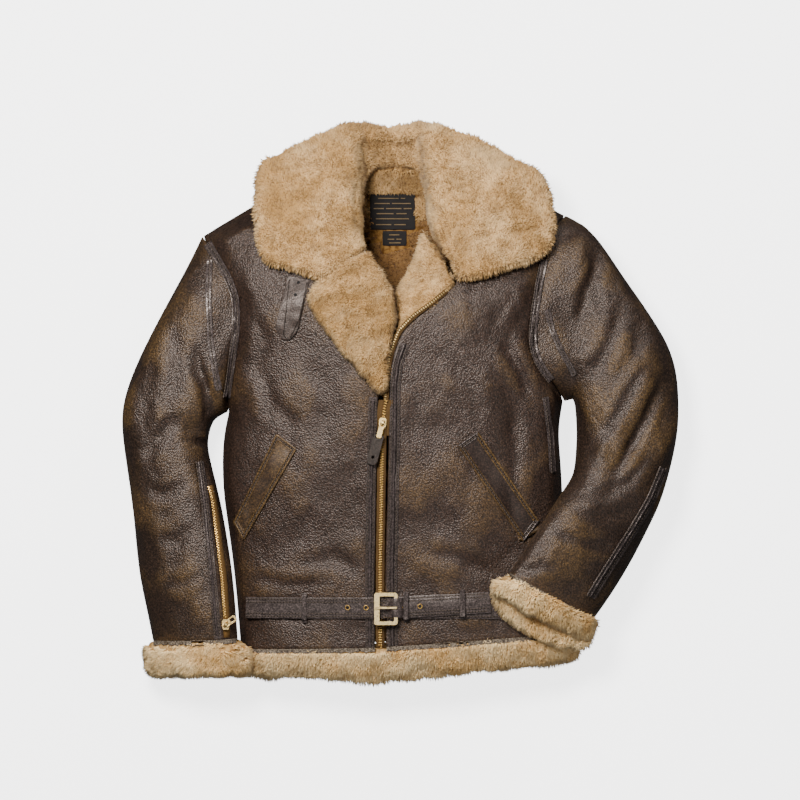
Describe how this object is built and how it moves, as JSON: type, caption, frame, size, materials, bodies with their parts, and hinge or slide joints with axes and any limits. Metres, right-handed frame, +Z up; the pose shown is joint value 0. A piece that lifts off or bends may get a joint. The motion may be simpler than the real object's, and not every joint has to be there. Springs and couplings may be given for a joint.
{
  "type": "sheepskin flying jacket",
  "caption": "Laid-out leather flying jacket lined with sheep fleece: wide fleece collar, open lapel, belted hem, slanted pockets and a front zip half done up.",
  "frame": {"origin": "middle of the laid jacket, on the plane it lies on", "axes": "+Z up from the surface through the front, +Y from the hem to the collar, +X to the right as it is looked at"},
  "size_m": [0.76, 0.76, 0.1638],
  "materials": {
    "armhole_strip_left": "smooth, semi-gloss",
    "armhole_strip_right": "smooth, semi-gloss",
    "back": "oiled, rubbed lighter at the creases",
    "belt_left": "smooth, semi-gloss",
    "belt_loop_left": "smooth, semi-gloss",
    "belt_loop_middle": "smooth, semi-gloss",
    "belt_loop_right": "smooth, semi-gloss",
    "belt_right": "smooth, semi-gloss",
    "buckle_frame": "aged, semi-gloss",
    "buckle_prong": "aged, semi-gloss",
    "collar": "curled sheep fleece",
    "cuff_left": "curled sheep fleece",
    "cuff_right": "curled sheep fleece",
    "flap_right": "curled sheep fleece",
    "front_left": "oiled, rubbed lighter at the creases",
    "front_right": "oiled, rubbed lighter at the creases",
    "front_slider": "aged, semi-gloss",
    "front_zip_link": "aged, semi-gloss",
    "front_zip_tab": "smooth, semi-gloss",
    "hem_back": "curled sheep fleece",
    "hem_left": "curled sheep fleece",
    "hem_right": "curled sheep fleece",
    "lapel_left": "curled sheep fleece",
    "neck_label": "woven, matt",
    "placket_left": "smooth, semi-gloss",
    "placket_right": "smooth, semi-gloss",
    "pocket_left": "smooth, semi-gloss",
    "pocket_right": "smooth, semi-gloss",
    "side_strip_right": "smooth, semi-gloss",
    "size_tab": "woven, matt",
    "sleeve_left_top": "oiled, rubbed lighter at the creases",
    "sleeve_left_under": "oiled, rubbed lighter at the creases",
    "sleeve_right_top": "oiled, rubbed lighter at the creases",
    "sleeve_right_under": "oiled, rubbed lighter at the creases",
    "sleeve_seam_left": "smooth, semi-gloss",
    "sleeve_seam_right": "smooth, semi-gloss",
    "sleeve_slider": "aged, semi-gloss",
    "sleeve_strip_left": "smooth, semi-gloss",
    "sleeve_strip_right": "smooth, semi-gloss",
    "sleeve_zip_left": "zip tape with brass teeth",
    "sleeve_zip_pull": "aged, semi-gloss",
    "throat_strap": "smooth, semi-gloss",
    "zip_open": "zip tape with brass teeth",
    "zip_tape": "zip tape with brass teeth"
  },
  "bodies": {
    "jacket": {"armhole_strip_left": "armhole_strip_left", "armhole_strip_right": "armhole_strip_right", "back": "back", "belt_left": "belt_left", "belt_loop_left": "belt_loop_left", "belt_loop_middle": "belt_loop_middle", "belt_loop_right": "belt_loop_right", "belt_right": "belt_right", "buckle_frame": "buckle_frame", "buckle_prong": "buckle_prong", "collar": "collar", "cuff_left": "cuff_left", "cuff_right": "cuff_right", "flap_right": "flap_right", "front_left": "front_left", "front_right": "front_right", "front_slider": "front_slider", "hem_back": "hem_back", "hem_left": "hem_left", "hem_right": "hem_right", "lapel_left": "lapel_left", "neck_label": "neck_label", "placket_left": "placket_left", "placket_right": "placket_right", "pocket_left": "pocket_left", "pocket_right": "pocket_right", "side_strip_right": "side_strip_right", "size_tab": "size_tab", "sleeve_left_top": "sleeve_left_top", "sleeve_left_under": "sleeve_left_under", "sleeve_right_top": "sleeve_right_top", "sleeve_right_under": "sleeve_right_under", "sleeve_seam_left": "sleeve_seam_left", "sleeve_seam_right": "sleeve_seam_right", "sleeve_slider": "sleeve_slider", "sleeve_strip_left": "sleeve_strip_left", "sleeve_strip_right": "sleeve_strip_right", "sleeve_zip_left": "sleeve_zip_left", "throat_strap": "throat_strap", "zip_open": "zip_open", "zip_tape": "zip_tape"},
    "front_zip_pull": {"front_zip_link": "front_zip_link", "front_zip_tab": "front_zip_tab"},
    "sleeve_zip_pull_body": {"sleeve_zip_pull": "sleeve_zip_pull"}
  },
  "joints": [
    {"name": "front_pull_turn", "type": "hinge", "parent": "jacket", "child": "front_zip_pull", "pos_m": [-0.0235, -0.031, 0.1482], "axis": [-0.9627, 0.2707, 0], "range_deg": [0, 120]},
    {"name": "sleeve_pull_turn", "type": "hinge", "parent": "jacket", "child": "sleeve_zip_pull_body", "pos_m": [-0.236, -0.304, 0.11341], "axis": [0.6, -0.8, 0], "range_deg": [0, 120]}
  ]
}
